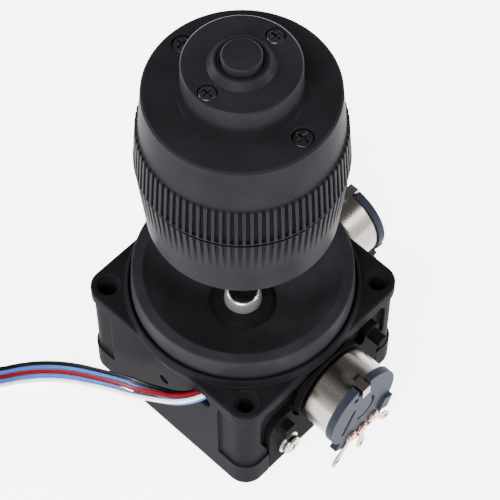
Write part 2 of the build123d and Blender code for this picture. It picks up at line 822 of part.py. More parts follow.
def lugs_x():
    return [facing_x(Pos(y, z) * Rot(0, 0, splay) * lug(), wafer_end, lug_thickness)
            for (y, z), splay in zip(rivet_places(), (-lug_splay, 0, lug_splay))]


def pot_shaft_x():
    """Shaft in the bail's hub, which carries the wiper's disc inside the can."""
    shaft = d_shaft(shaft_radius, hub_end - 5, can_start + 0.8)
    shaft += bar_x(shaft_radius, hub_end, can_start + 4)
    return shaft + bar_x(can_radius - can_wall - 1.5, can_start + 3, can_start + 4.2)


def hexagon_nut(across, hole, thickness):
    return extrude(RegularPolygon(across / 2, 6, major_radius=False) - Circle(hole), thickness)


def pot_nuts():
    nut = hexagon_nut(2 * bush_radius + 3.6, bush_radius, recess_depth - 0.4)
    start = pot_wall_face - recess_depth + 0.4
    near = Plane(origin=(start, 0, pivot_height), x_dir=(0, 1, 0), z_dir=(1, 0, 0)) * nut
    return [near, swap_xy(near)]


# Knob: fluted shells round the stick's head
def star(outer, inner, count):
    """Fluted outline with narrow lands and wide flat-bottomed grooves."""
    points = []
    step = 2 * pi / count
    land, floor = flute_land_share / 2, flute_floor_share / 2
    for k in range(count):
        for part, r in ((-land, outer), (land, outer), (0.5 - floor, inner), (0.5 + floor, inner)):
            angle = (k + part) * step
            points.append((r * cos(angle), r * sin(angle)))
    return make_face(Polyline(*points, close=True))


def lower_knob():
    slope = (split_radius - knob_bottom_radius) / lower_height
    rim_foot = split_height - flute_rim
    core = lower_flute_radius - 0.4
    outside = solid_of_revolution([
        (0, knob_bottom), (knob_bottom_radius - knob_edge, knob_bottom),
        (knob_bottom_radius, knob_bottom + knob_edge), (split_radius, split_height), (0, split_height)])
    flutes = star(split_radius + 0.05, lower_flute_radius, flute_count)
    outside &= Pos(0, 0, knob_bottom) * extrude(flutes, lower_height - flute_rim + 0.1)
    outside += solid_of_revolution([
        (0, split_height - 1.5), (core, split_height - 1.5), (core, rim_foot),
        (split_radius - slope * flute_rim, rim_foot), (split_radius - 0.02, split_height - 0.25),
        (split_radius - 0.25, split_height), (0, split_height)])
    outside += tube(spigot_radius, split_height - 1, split_height + spigot_height)
    floor = knob_bottom + knob_wall
    room = tube(lower_flute_radius - knob_wall - 0.7, floor, split_height - 1.6)
    room += tube(spigot_radius - 1.6, floor, split_height + spigot_height + 1)
    room -= tube(stick_radius + stick_socket_wall, floor - 1, stick_top() - stick_nut_thickness - 1)
    for x, y in plate_posts():
        room -= tube(small_screw + 1.5, floor - 1, plate_bottom, x, y)
    knob = outside - room - tube(stick_radius, 0, split_height)
    for x, y in plate_posts():
        knob -= tube(small_screw, plate_bottom - 6, plate_bottom + 1, x, y)
    return knob


def plate_posts():
    place = spigot_radius - plate_post_inset
    return [(place * cos(radians(a)), place * sin(radians(a))) for a in (30, 150, 270)]


def stick_nut():
    foot = stick_top() - stick_nut_thickness - 1
    return Pos(0, 0, foot) * hexagon_nut(3.4 * stick_radius, stick_radius, stick_nut_thickness)


def twist_plate():
    """Fixed plate inside the knob, which holds the twist potentiometer and the spring's fixed post."""
    plate = tube(spigot_radius - twist_plate_fit, plate_bottom, plate_top)
    plate -= tube(twist_bush, 0, knob_top)
    for x, y in plate_posts():
        plate -= tube(small_screw + screw_fit, 0, knob_top, x, y)
    half_width = leg_room(twist_spring_radius, centring_wire, twist_spring_tip, twist_post_span[1])
    post = Pos(0, twist_post_span[0], plate_top) * Box(
        2 * half_width, twist_post_span[1] - twist_post_span[0], twist_post_height,
        align=(Align.CENTER, Align.MIN, Align.MIN))
    return plate + post


def twist_plate_screws():
    upright = small_screw_up(0, 0, -plate_top - small_head_height, -plate_top + 7)
    return [Pos(x, y, 0) * Rot(180, 0, 0) * upright for x, y in plate_posts()]


def twist_pot():
    body = tube(twist_pot_radius, stick_top() + twist_pot_clearance, plate_bottom)
    body = fillet(body.faces().sort_by(Axis.Z)[0].edges(), 0.6)
    body += tube(twist_bush, plate_bottom - 1, plate_top + twist_bush_rise)
    return body - tube(twist_shaft_radius + shaft_fit, twist_shaft_foot(), knob_top)


def twist_shaft_foot():
    return (stick_top() + twist_pot_clearance + plate_bottom) / 2


def twist_nut():
    return Pos(0, 0, plate_top) * hexagon_nut(2 * twist_bush + 3, twist_bush, twist_nut_thickness)


def twist_shaft():
    return tube(twist_shaft_radius, twist_shaft_foot(), rotor_bottom + rotor_thickness)


def twist_spring():
    return Pos(0, 0, plate_top + 1.1) * torsion_spring(
        twist_spring_radius, centring_wire, spring_turns, twist_spring_tip)


def twist_rotor():
    """Drive plate on the twist potentiometer's shaft, with the posts that the upper knob is screwed to."""
    rotor = tube(knob_inner_radius - 0.3, rotor_bottom, rotor_bottom + rotor_thickness)
    rotor += tube(twist_hub_radius, plate_top + twist_bush_rise + 0.4, rotor_bottom + 0.5)
    post = knob_inner_radius - knob_screw_place - 0.1
    for x in (-knob_screw_place, knob_screw_place):
        rotor += tube(post, rotor_bottom, knob_top - knob_top_wall, x)
        rotor -= tube(m3_radius, knob_top - knob_screw_length - 2, knob_top, x)
    half_width = leg_room(twist_spring_radius, centring_wire, twist_spring_tip, twist_finger_span[1])
    rotor += Pos(0, twist_finger_span[0], plate_top + 0.5) * Box(
        2 * half_width, twist_finger_span[1] - twist_finger_span[0], rotor_bottom - plate_top,
        align=(Align.CENTER, Align.MIN, Align.MIN))
    return rotor - tube(twist_shaft_radius, 0, knob_top)


def upper_knob():
    low = split_height + split_gap
    high = low + knurl_height
    rim_top = low + flute_rim
    ring = solid_of_revolution([
        (0, low + 0.1), (knurl_radius, low + 0.1), (knurl_top_radius, high - 0.6),
        (band_radius - 0.3, high + 0.2), (0, high + 0.2)])
    ring &= Pos(0, 0, low + 0.1) * extrude(star(knurl_radius, band_radius - 0.4, flute_count), knurl_height)
    body = solid_of_revolution([
        (0, low), (knurl_radius - 0.25, low), (knurl_radius, low + 0.25), (knurl_radius, rim_top),
        (knurl_radius - flute_depth, rim_top), (band_radius, high), (knob_top_radius, knob_top - knob_edge),
        (knob_top_radius - knob_edge, knob_top), (0, knob_top)])
    knob = body + ring - tube(knob_inner_radius, 0, knob_top - knob_top_wall)
    stand = tube(board_radius - 0.3, knob_top - 1, knob_top + board_stand)
    knob += stand - tube(board_radius - 2.3, 0, knob_top + 3)
    for x in (-knob_screw_place, knob_screw_place):
        knob -= tube(m3_radius + 0.1, 0, knob_top + 1, x)
        knob -= tube(knob_screw_head + 0.15, knob_top - 2.2, knob_top + 1, x)
    for y in (-cap_screw_place, cap_screw_place):
        knob -= tube(small_screw + 0.1, 0, knob_top + 1, 0, y)
    return knob


def recessed_screw(x, y, top, head_radius, shank_radius, length):
    """Countersunk-depth pan screw driven downwards, with a cross recess."""
    seat = top - recessed_head_height
    head = tube(head_radius, seat, top, x, y)
    head = fillet(head.faces().sort_by(Axis.Z)[-1].edges(), 0.5)
    recess = cross_recess(head_radius * 0.66, x, y, top - recessed_head_height / 2, 1.0)
    return head + tube(shank_radius, top - length, seat, x, y) - recess


def knob_screws():
    return [recessed_screw(x, 0, knob_top - 0.4, knob_screw_head, m3_radius, knob_screw_length)
            for x in (-knob_screw_place, knob_screw_place)]


# Cap: drum with a low conical boss round the button
def cap_drum():
    top = knob_top + cap_height
    lip = top + boss_height
    bore = button_radius + button_fit
    middle = (cap_radius + 0.42, knob_top + 1.3)
    flare = (cap_radius + 0.12, knob_top + cap_foot_fillet)
    with BuildSketch(Plane.XZ) as section:
        with BuildLine():
            ThreePointArc((cap_foot_radius, knob_top), middle, flare)
            Polyline(flare, (cap_radius, top - 0.35),
                     (cap_radius - 0.35, top), (boss_radius, top), (boss_top_radius, lip),
                     (boss_top_radius - 0.55, lip), (bore + 0.5, lip - 0.5), (bore, lip - 0.5),
                     (bore, top - cap_wall), (cap_radius - cap_wall, top - cap_wall),
                     (cap_radius - cap_wall, knob_top), (cap_foot_radius, knob_top))
        make_face()
    drum = revolve(section.sketch, Axis.Z)
    for y in (-cap_screw_place, cap_screw_place):
        drum += tube(cap_screw_head, knob_top, top - 1, 0, y)
        drum -= tube(small_screw + 0.3, knob_top - 1, top + 1, 0, y)
        drum -= tube(cap_screw_head + 0.15, top - 2.0, top + 1, 0, y)
    return drum


def cap_screws():
    top = knob_top + cap_height - 0.2
    return [recessed_screw(0, y, top, cap_screw_head, small_screw + 0.1, cap_height + 2)
            for y in (-cap_screw_place, cap_screw_place)]


def switch_board():
    return tube(board_radius, knob_top + board_stand, board_top())


def board_top():
    return knob_top + board_stand + board_thickness


def tact_switch():
    top = board_top() + switch_height
    body = Pos(0, 0, board_top()) * Box(
        switch_side, switch_side, switch_height, align=(Align.CENTER, Align.CENTER, Align.MIN))
    return body + tube(switch_stem_radius, top - 0.1, top + switch_stem)


def button():
    foot = button_flange_bottom()
    flange_top = foot + button_flange_height
    top = knob_top + cap_height + boss_height + button_stand
    return solid_of_revolution([
        (0, foot), (button_radius + button_flange, foot), (button_radius + button_flange, flange_top),
        (button_radius, flange_top), (button_radius, top - 0.35), (button_radius - 0.35, top),
        (0, top + 0.05)])


def button_flange_bottom():
    return knob_top + cap_height - cap_wall - button_flange_height - 0.3


def button_spring():
    bottom = board_top() + button_wire / 2
    rise = button_flange_bottom() - button_wire / 2 - bottom
    helix = Helix(rise / button_coils, rise, button_radius + 0.6)
    section = Plane(origin=helix @ 0, z_dir=helix % 0) * Circle(button_wire / 2)
    coil = sweep(section, path=helix, is_frenet=True)
    return Pos(0, 0, bottom) * coil


# Leads: five thin insulated wires that leave the base side by side
def lead_way():
    """Middle line of the leads as corner points: out of the wall, down to the table and round."""
    floor = lead_diameter / 2
    exit_x, exit_z = lead_exit_x - 0.3, lead_exit_z + 0.25
    return [
        (exit_x, -half_side + 7.5, exit_z), (exit_x, -half_side - 2.0, exit_z), (-1.5, -39.3, 28.6),
        (-10.5, -35.5, 15.2), (-35.6, -41.5, floor), (-47.4, -60.7, floor), (-73.4, -62.3, floor),
        (-91.4, -43.3, floor)]


def bundle_offset(k):
    """Place of a lead in the wall's hole, as sideways and upward offsets: five round wires in a ring."""
    turn = radians((180, 252, 108, -36, 36)[k])
    return lead_bundle_radius * cos(turn), lead_bundle_radius * sin(turn)


def ribbon_offset(k, pitch, lift):
    """Place of a lead where they lie side by side, the blue ones a little lower while they spread."""
    return (k - 2) * pitch, lift * (-1) ** k


def lead_route(k):
    way = lead_way()
    route = []
    for i, (x, y, z) in enumerate(way):
        if i < 2:
            side, up = bundle_offset(k)
        elif i == 2:
            side, up = ribbon_offset(k, lead_pitch * 0.86, lead_diameter / 2)
        else:
            side, up = ribbon_offset(k, lead_pitch, 0)
        before, after = heading(way, i - 1), heading(way, i)
        mitre = 1 + before[0] * after[0] + before[1] * after[1]
        route.append((x - side * (before[1] + after[1]) / mitre,
                      y + side * (before[0] + after[0]) / mitre, z + up))
    return route


def heading(way, i):
    """Direction on the plan of one stretch of the leads' way."""
    i = min(max(i, 0), len(way) - 2)
    run_x, run_y = way[i + 1][0] - way[i][0], way[i + 1][1] - way[i][1]
    return run_x / hypot(run_x, run_y), run_y / hypot(run_x, run_y)


def bend_radii(route):
    """Radius at each corner: as wide as nine tenths of half the shorter neighbouring run allows."""
    points = [Vector(*p) for p in route]
    radii = []
    for a, b, c in zip(points, points[1:], points[2:]):
        half_turn = radians((b - a).get_angle(c - b)) / 2
        radii.append(0.45 * min((b - a).length, (c - b).length) / tan(half_turn))
    radii[0] = min(radii[0], first_bend_radius)
    return radii


def lead(k):
    route = lead_route(k)
    radii = bend_radii(route)
    path = FilletPolyline(*route, radius=radii)
    wire = sweep(Plane(origin=path @ 0, z_dir=path % 0) * Circle(lead_diameter / 2), path=path)
    expected = pi * (lead_diameter / 2) ** 2 * path.length
    print(f"lead {k}: length {path.length:.1f}, volume {wire.volume:.1f} of {expected:.1f}")
    print(f"lead {k}: bend radii", [round(radius, 1) for radius in radii])
    return wire


def lead_tips():
    """Bare tinned ends of the leads."""
    tips = []
    for k in range(5):
        route = [Vector(*p) for p in lead_route(k)]
        along = (route[-1] - route[-2]).normalized()
        end = route[-1] + along * lead_tip_length
        tips.append(rod(tuple(route[-1]), tuple(end), lead_diameter / 3))
    return tips


def build_all():
    os.makedirs("parts", exist_ok=True)
    single = [
        base_housing, bottom_cover, bowl_cover, ball_retainer, pivot_ball, stick_tube, stick_collar,
        bail_x, bail_y, centring_spring_x, centring_spring_y, bracket_x, can_x, wafer_x, pot_shaft_x,
        lower_knob, stick_nut, twist_plate, twist_pot, twist_nut, twist_shaft, twist_spring, twist_rotor,
        upper_knob, cap_drum, switch_board, tact_switch, button, button_spring]
    groups = [
        bottom_screws, cover_screws, retainer_screws, stick_leads, bracket_screws_x, bracket_washers_x,
        rivets_x, lugs_x, pot_nuts, twist_plate_screws, knob_screws, cap_screws, lead_tips]
    for piece in single:
        save(piece.__name__, piece())
    for group in groups:
        save(group.__name__, Compound(group()))
    for piece in (bracket_x, can_x, wafer_x, pot_shaft_x):
        save(piece.__name__[:-1] + "y", swap_xy(piece()))
    for group in (bracket_screws_x, bracket_washers_x, rivets_x, lugs_x):
        save(group.__name__[:-1] + "y", Compound([swap_xy(piece) for piece in group()]))
    for k, colour in enumerate(("black", "blue_a", "red", "blue_b", "white")):
        save(f"lead_{colour}", lead(k))


build_all()
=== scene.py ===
import math

import bmesh
import bpy
from mathutils import Matrix, Vector


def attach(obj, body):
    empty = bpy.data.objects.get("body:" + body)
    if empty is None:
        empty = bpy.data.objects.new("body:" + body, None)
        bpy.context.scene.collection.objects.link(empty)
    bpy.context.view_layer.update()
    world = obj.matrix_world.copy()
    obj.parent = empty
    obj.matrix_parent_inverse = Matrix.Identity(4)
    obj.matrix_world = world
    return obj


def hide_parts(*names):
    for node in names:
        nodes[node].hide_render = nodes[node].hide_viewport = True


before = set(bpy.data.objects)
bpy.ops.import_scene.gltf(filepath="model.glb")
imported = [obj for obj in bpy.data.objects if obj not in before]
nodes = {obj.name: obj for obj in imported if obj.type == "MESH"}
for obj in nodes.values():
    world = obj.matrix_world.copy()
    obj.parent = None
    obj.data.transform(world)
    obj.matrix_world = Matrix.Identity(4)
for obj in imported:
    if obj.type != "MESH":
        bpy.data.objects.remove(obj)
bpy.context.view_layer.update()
MM = 0.001


# Shader maths: a node's output that can be added, multiplied and mapped like a number,
# and one method that makes any shader node and links or sets its inputs.
class Shade:
    def __init__(self, tree, socket=None):
        self.tree, self.socket = tree, socket

    def make(self, kind, inputs=None, out=0, **settings):
        """One output of a new shader node."""
        node = self.tree.nodes.new("ShaderNode" + kind)
        for key, value in settings.items():
            setattr(node, key, value)
        for key, value in (inputs or {}).items():
            if isinstance(value, Shade):
                self.tree.links.new(value.socket, node.inputs[key])
            else:
                node.inputs[key].default_value = value
        return Shade(self.tree, node.outputs[out] if node.outputs else None)

    def maths(self, operation, other=0.0):
        return self.make("Math", {0: self, 1: other}, operation=operation)

    def __add__(self, other):
        return self.maths("ADD", other)

    def __sub__(self, other):
        return self.maths("SUBTRACT", other)

    def __mul__(self, other):
        return self.maths("MULTIPLY", other)

    def step(self, low, high, start=0.0, end=1.0):
        """This value mapped smoothly from low..high to start..end."""
        limits = {0: self, 1: low, 2: high, 3: start, 4: end}
        return self.make("MapRange", limits, interpolation_type="SMOOTHSTEP")

    def parts(self):
        """The x, y and z of this vector."""
        split = self.make("SeparateXYZ", {0: self})
        return [Shade(self.tree, socket) for socket in split.socket.node.outputs]

    def scaled(self, x, y, z):
        return self.make("VectorMath", {0: self, 1: (x, y, z)}, operation="MULTIPLY")

    def noise(self, scale, detail=2.0, roughness=0.5):
        sockets = {"Vector": self, "Scale": scale, "Detail": detail, "Roughness": roughness}
        return self.make("TexNoise", sockets)

    def blend(self, one, other):
        """Colour that goes from one to the other as this value goes from 0 to 1."""
        mix = self.tree.nodes.new("ShaderNodeMix")
        mix.data_type = "RGBA"
        factor, first, second, result = mix.inputs[0], mix.inputs[6], mix.inputs[7], mix.outputs[2]
        for socket, value in ((factor, self), (first, one), (second, other)):
            if isinstance(value, Shade):
                self.tree.links.new(value.socket, socket)
            else:
                socket.default_value = value
        return Shade(self.tree, result)


# Materials and meshes: a material's start and end, an edge mask from rounded normals, the two
# families of finish, and the calls that give a CAD node its look and make a piece from a mesh.
bevel_samples = 6


def start_material(name):
    """New material, and its Object coordinates as a Shade."""
    mat = bpy.data.materials.new(name)
    mat.use_nodes = True
    mat.node_tree.nodes.clear()
    return mat, Shade(mat.node_tree).make("TexCoord", out="Object")


def end_material(mat, coord, inputs, bump=None, depth=0.0, strength=0.0, round_edges=0.0):
    """Close a material with one Principled shader, a bump and, for CAD meshes, rounded edges."""
    normal = None
    if round_edges:
        normal = coord.make("Bevel", {"Radius": round_edges}, samples=bevel_samples)
    if bump is not None:
        sockets = {"Height": bump, "Distance": depth, "Strength": strength}
        if normal is not None:
            sockets["Normal"] = normal
        normal = coord.make("Bump", sockets)
    if normal is not None:
        inputs = dict(inputs, Normal=normal)
    coord.make("OutputMaterial", {0: coord.make("BsdfPrincipled", inputs)})
    return mat


def edge_mask(coord, radius):
    """1 along sharp edges and 0 on flat faces, from how far a rounded normal leans."""
    least_lean, full_lean = 0.02, 0.22
    rounded = coord.make("Bevel", {"Radius": radius}, samples=bevel_samples)
    flat = coord.make("NewGeometry", out="Normal")
    along = coord.make("VectorMath", {0: rounded, 1: flat}, out="Value", operation="DOT_PRODUCT")
    return (along * -1.0 + 1.0).step(least_lean, full_lean)


def grey(value, tint):
    return (value * tint[0], value * tint[1], value * tint[2], 1.0)


def dimmed(colour, share):
    return tuple(channel * share for channel in colour[:3]) + (1.0,)


def moulded(name, dark, light, worn_and_highlit, rough, grain=0.35 * MM, edge=0.45 * MM, gloss=0.05,
            tint=(1.0, 0.97, 1.14), painted_shade=None):
    """Moulded plastic: mottled colour, fine grain, scuffs, paler edges that are partly wear and partly
    painted highlight, and painted shade where a mask is given.
    """
    painted_shade_share, mottle_rough, scuff_rough, coarse_share, coarse_size = 0.05, 0.06, 0.07, 0.6, 1 / 0.3
    mat, coord = start_material(name)
    mottle = coord.noise(scale=90.0, detail=4.0, roughness=0.6).step(low=0.3, high=0.7)
    scuff = coord.scaled(1.0, 1.0, 0.25).noise(scale=420.0, detail=5.0, roughness=0.7)
    scuff = scuff.step(low=0.56, high=0.74)
    patchy = coord.noise(scale=260.0, detail=3.0, roughness=0.6).step(low=0.25, high=0.6, start=0.45)
    # Paler edges: partly real wear and partly a painted highlight along the rims.
    edge_wear_and_highlight = edge_mask(coord, edge) * patchy
    colour = edge_wear_and_highlight.blend(mottle.blend(grey(dark, tint), grey(light, tint)), grey(worn_and_highlit, tint))
    # Painted shade: the colour goes towards near black where the given mask is 1.
    if painted_shade:
        colour = painted_shade(coord).blend(colour, grey(dark * painted_shade_share, tint))
    roughness = mottle * mottle_rough + scuff * scuff_rough + rough
    inputs = {"Base Color": colour, "Roughness": roughness, "Specular IOR Level": gloss}
    grains = coord.noise(scale=1.0 / grain) + coord.noise(scale=1.0 / (grain * coarse_size)) * coarse_share
    return end_material(mat, coord, inputs, grains, depth=0.04 * MM, strength=0.35, round_edges=edge)


def metal(name, colour, rough, streak, stretch=(1.0, 1.0, 1.0), dark=0.6, edge=0.2 * MM,
          metallic=1.0, scratch=0.25, uneven=1.0):
    """Plated or drawn metal with fine streaks, faint stains and rounded edges."""
    streak_rough, stain_rough, smoother = 0.12 * uneven, 0.10 * uneven, 0.04
    mat, coord = start_material(name)
    lines = coord.scaled(*stretch).noise(scale=streak, detail=4.0, roughness=0.65)
    stain = coord.noise(scale=160.0, detail=5.0, roughness=0.65).step(low=0.5, high=0.75)
    roughness = lines * streak_rough + stain * stain_rough + (rough - smoother)
    inputs = {"Base Color": stain.blend(colour, dimmed(colour, dark)), "Roughness": roughness,
              "Metallic": metallic}
    return end_material(mat, coord, inputs, lines, depth=0.03 * MM, strength=scratch, round_edges=edge)


def dress(mat, *names):
    """Give CAD nodes their material."""
    for name in names:
        node = nodes[name]
        node.data.materials.clear()
        node.data.materials.append(mat)


def new_piece(name, mesh, mat):
    """Object from a bmesh whose normals are put right, smooth apart from its sharp edges."""
    sharp_angle = math.radians(35.0)
    bmesh.ops.recalc_face_normals(mesh, faces=mesh.faces)
    data = bpy.data.meshes.new(name)
    mesh.to_mesh(data)
    mesh.free()
    data.polygons.foreach_set("use_smooth", [True] * len(data.polygons))
    data.set_sharp_from_angle(angle=sharp_angle)
    data.materials.append(mat)
    obj = bpy.data.objects.new(name, data)
    bpy.context.scene.collection.objects.link(obj)
    return obj


def turned(mesh, profile, sides, place=tuple, dent=None):
    """Add a body of revolution to a bmesh, from a closed (radius, height) profile about its axis."""
    rings = []
    for k in range(sides):
        turn = 2 * math.pi * k / sides
        ring = []
        for r, h in profile:
            depth = dent(r, h, turn) if dent else 0.0
            spot = ((r - depth) * math.cos(turn), (r - depth) * math.sin(turn), h)
            ring.append(mesh.verts.new(place(spot)))
        rings.append(ring)
    for k, ring in enumerate(rings):
        after = rings[(k + 1) % sides]
        for i in range(len(profile)):
            above = (i + 1) % len(profile)
            mesh.faces.new((ring[i], after[i], after[above], ring[above]))


# Camera: fitted to the photograph, from above the corner between the leads and the near potentiometer.
# The lens is long, so the upright edges stay almost parallel.
camera_data = bpy.data.cameras.new("camera")
camera = bpy.data.objects.new("camera", camera_data)
bpy.context.scene.collection.objects.link(camera)
camera_data.lens = 147.9
camera_data.sensor_width = 36.0
camera_data.clip_start, camera_data.clip_end = 0.05, 20.0
right = Vector((0.7214, 0.6925, 0.0)).normalized()
back = Vector((0.3645, -0.3797, 0.8503)).normalized()
up = back.cross(right)
view = Matrix((right, up, back)).transposed().to_4x4()
view.translation = Vector((0.1932, -0.1986, 0.5013))
camera.matrix_world = view
bpy.context.scene.camera = camera


# Leads: five thin insulated wires from the hole in the -Y wall, down to the table and round outside the view.
# The corner points, in millimetres, are those of the CAD routes, and a smooth spline takes them as its
# control points. In the hole the wires stand in a ring, and on the table they lie side by side.
lead_diameter = 1.2 * MM
lead_way = [(14.3, -22.5, 32.15), (14.3, -32.0, 32.15), (-1.5, -39.3, 28.6), (-10.5, -35.5, 15.2),
            (-35.6, -41.5, 0.6), (-47.4, -60.7, 0.6), (-73.4, -62.3, 0.6), (-91.4, -43.3, 0.6)]
lead_ring, lead_turns = 1.12, (180, 252, 108, -36, 36)
lead_pitch, lead_middle = 1.3, 2
lead_fan, lead_fan_squeeze, lead_fan_lift = 2, 0.86, 0.6
lead_lengths = {"black": 0.1371, "blue_a": 0.1388, "red": 0.1416, "blue_b": 0.1439, "white": 0.1464}
lead_colours = {"black": (0.0015, 0.0018, 0.003, 1.0), "blue_a": (0.048, 0.125, 0.40, 1.0),
                "red": (0.165, 0.0012, 0.006, 1.0), "blue_b": (0.048, 0.125, 0.40, 1.0),
                "white": (0.80, 0.80, 0.82, 1.0)}


def lead_heading(i):
    """Level direction of the run that starts at a corner, held at the two ends of the way."""
    i = min(max(i, 0), len(lead_way) - 2)
    run = Vector(lead_way[i + 1][:2]) - Vector(lead_way[i][:2])
    return run.normalized()


def lead_route(k):
    """Control points of one lead, which fans out from its place in the ring to its place in the row."""
    route = []
    turn = math.radians(lead_turns[k])
    for i, (x, y, z) in enumerate(lead_way):
        if i < lead_fan:
            aside, lift = lead_ring * math.cos(turn), lead_ring * math.sin(turn)
        elif i == lead_fan:
            aside, lift = (k - lead_middle) * lead_pitch * lead_fan_squeeze, lead_fan_lift * (-1) ** k
        else:
            aside, lift = (k - lead_middle) * lead_pitch, 0.0
        before, after = lead_heading(i - 1), lead_heading(i)
        mitre = aside / (1 + before.dot(after))
        corner = (x - mitre * (before.y + after.y), y + mitre * (before.x + after.x), z + lift)
        route.append(Vector(corner) * MM)
    return route


def lead_material(name, colour):
    """Soft insulation: slightly cloudy colour, low sheen and a faint waviness."""
    cloud_share, least_rough, cloud_rough, sheen = 0.82, 0.36, 0.12, 0.06
    mat, coord = start_material(name)
    cloud = coord.noise(scale=600.0, detail=3.0, roughness=0.6).step(low=0.3, high=0.7)
    inputs = {"Base Color": cloud.blend(dimmed(colour, cloud_share), colour),
              "Roughness": cloud * cloud_rough + least_rough, "Specular IOR Level": sheen}
    return end_material(mat, coord, inputs, coord.noise(scale=1500.0), depth=0.03 * MM, strength=0.3)


for k, colour in enumerate(lead_lengths):
    curve = bpy.data.curves.new("lead_" + colour + "_wire", "CURVE")
    curve.dimensions = "3D"
    curve.bevel_depth = lead_diameter / 2
    curve.bevel_resolution = 5
    curve.use_fill_caps = True
    curve.resolution_u = 16
    spline = curve.splines.new("NURBS")
    route = lead_route(k)
    spline.points.add(len(route) - 1)
    for point, corner in zip(spline.points, route):
        point.co = (*corner, 1.0)
    spline.order_u = 3
    spline.use_endpoint_u = True
    wire = bpy.data.objects.new("lead_" + colour + "_wire", curve)
    bpy.context.scene.collection.objects.link(wire)
    curve.materials.append(lead_material("insulation_" + colour, lead_colours[colour]))
    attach(wire, "base")
    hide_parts("lead_" + colour)


# Floor, sky and lamps: an over-exposed white table, bright walls round it and a dark ceiling,
# so upright faces pick up the table and flat tops stay dark. A large soft box stands behind the camera.
table_half, table_drop = 3.0, -0.1 * MM
table_corners = ((-1, -1), (1, -1), (1, 1), (-1, 1))
floor_mesh = bpy.data.meshes.new("table")
floor_mesh.from_pydata([(x * table_half, y * table_half, table_drop) for x, y in table_corners],
                       [], [(0, 1, 2, 3)])
floor = bpy.data.objects.new("table", floor_mesh)
bpy.context.scene.collection.objects.link(floor)
floor_mat, floor_coord = start_material("table_top")
floor_tone = floor_coord.noise(scale=6.0, detail=3.0).blend((0.93, 0.93, 0.94, 1.0), (0.96, 0.96, 0.965, 1.0))
floor_mesh.materials.append(end_material(floor_mat, floor_coord, {
    "Base Color": floor_tone, "Roughness": 0.85, "Emission Color": (1.0, 1.0, 1.0, 1.0),
    "Emission Strength": 4.8}))

world = bpy.data.worlds.new("studio")
bpy.context.scene.world = world
world.use_nodes = True
world.node_tree.nodes.clear()
sky = Shade(world.node_tree).make("TexCoord")
walls = sky.parts()[2].step(low=0.10, high=0.62, start=1.0, end=0.10)
sky_tone = walls.blend((0.0, 0.0, 0.0, 1.0), (0.97, 0.98, 1.0, 1.0))
sky.make("OutputWorld", {0: sky.make("Background", {"Color": sky_tone, "Strength": 2.6})})


def lamp(name, spot, aim, width, height, power):
    """Oblong area lamp turned towards a point."""
    data = bpy.data.lights.new(name, "AREA")
    data.shape = "RECTANGLE"
    data.size, data.size_y = width, height
    data.energy = power
    obj = bpy.data.objects.new(name, data)
    bpy.context.scene.collection.objects.link(obj)
    obj.location = spot
    obj.rotation_mode = "QUATERNION"
    obj.rotation_quaternion = (Vector(aim) - Vector(spot)).to_track_quat("-Z", "Y")


lamp("front_box", spot=(0.45, -1.00, 1.10), aim=(0, 0, 0.05), width=1.0, height=1.0, power=44.0)
lamp("left_strip", spot=(-0.95, -0.55, 0.55), aim=(0, 0, 0.06), width=0.35, height=0.9, power=18.0)
lamp("right_strip", spot=(0.85, 0.75, 0.60), aim=(0, 0, 0.05), width=0.35, height=0.9, power=14.0)


# Base: black moulding with its foot cover, the brackets, and the bowl, which is smoother and a little
# glossier. The brackets take a darker black than the base, painted shade for the shadowed recess they stand
# in. All keep their CAD shapes.
base_black = moulded("base_black", dark=0.0056, light=0.0080, worn_and_highlit=0.020, rough=0.46, gloss=0.004)
# Darker than base_black: painted shade for the brackets' shadowed recess.
bracket_black_painted_shade = moulded("bracket_black_painted_shade", dark=0.0040, light=0.0060, worn_and_highlit=0.018, rough=0.44,
                        edge=0.3 * MM, gloss=0.002)
bowl_black = moulded("bowl_black", dark=0.0125, light=0.0175, worn_and_highlit=0.023, rough=0.40,
                     grain=0.5 * MM, edge=0.7 * MM, gloss=0.008)
dress(base_black, "base_housing", "bottom_cover", "ball_retainer")
dress(bracket_black_painted_shade, "bracket_x", "bracket_y")
dress(bowl_black, "bowl_cover")


# Stick: polished steel tube on a black ball, with a domed chrome collar turned here with a fuller shoulder.
# The ball is smooth acetal, a little darker than the bowl. All the shafts share the stick's steel.
steel = metal("stick_steel", (0.42, 0.41, 0.40, 1.0), rough=0.20, streak=1400.0, stretch=(1.0, 1.0, 0.04),
              dark=0.8, scratch=0.05, uneven=0.4)
ball_black = moulded("ball_black", dark=0.0070, light=0.0092, worn_and_highlit=0.012, rough=0.42,
                     grain=0.6 * MM, gloss=0.03)
dress(steel, "stick_tube", "pot_shaft_x", "pot_shaft_y", "twist_shaft")
dress(ball_black, "pivot_ball")
collar_foot, collar_rise, collar_waist, collar_wide = 29.3 * MM, 3.9 * MM, 4.0 * MM, 5.12 * MM
collar_bevel, collar_band, collar_fullness = 0.25 * MM, 0.5 * MM, 1.25
collar_rows, collar_sides = 16, 96
collar_profile = [(collar_waist, collar_foot), (collar_wide - collar_bevel, collar_foot)]
for k in range(collar_rows):
    swing = math.radians(90.0 * k / (collar_rows - 1))
    reach = (collar_wide - collar_waist) * math.cos(swing)
    rise = (collar_rise - collar_band) * math.sin(swing) ** collar_fullness
    collar_profile.append((collar_waist + reach, collar_foot + collar_band + rise))
collar_mesh = bmesh.new()
turned(collar_mesh, collar_profile, collar_sides)
collar_chrome = metal("collar_chrome", (0.95, 0.90, 0.85, 1.0), rough=0.28, streak=260.0,
                      stretch=(1.0, 1.0, 0.05), dark=0.9, edge=0.0, metallic=0.80, scratch=0.0, uneven=0.15)
collar = new_piece("collar_dome", collar_mesh, collar_chrome)
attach(collar, "stick")
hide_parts("stick_collar")


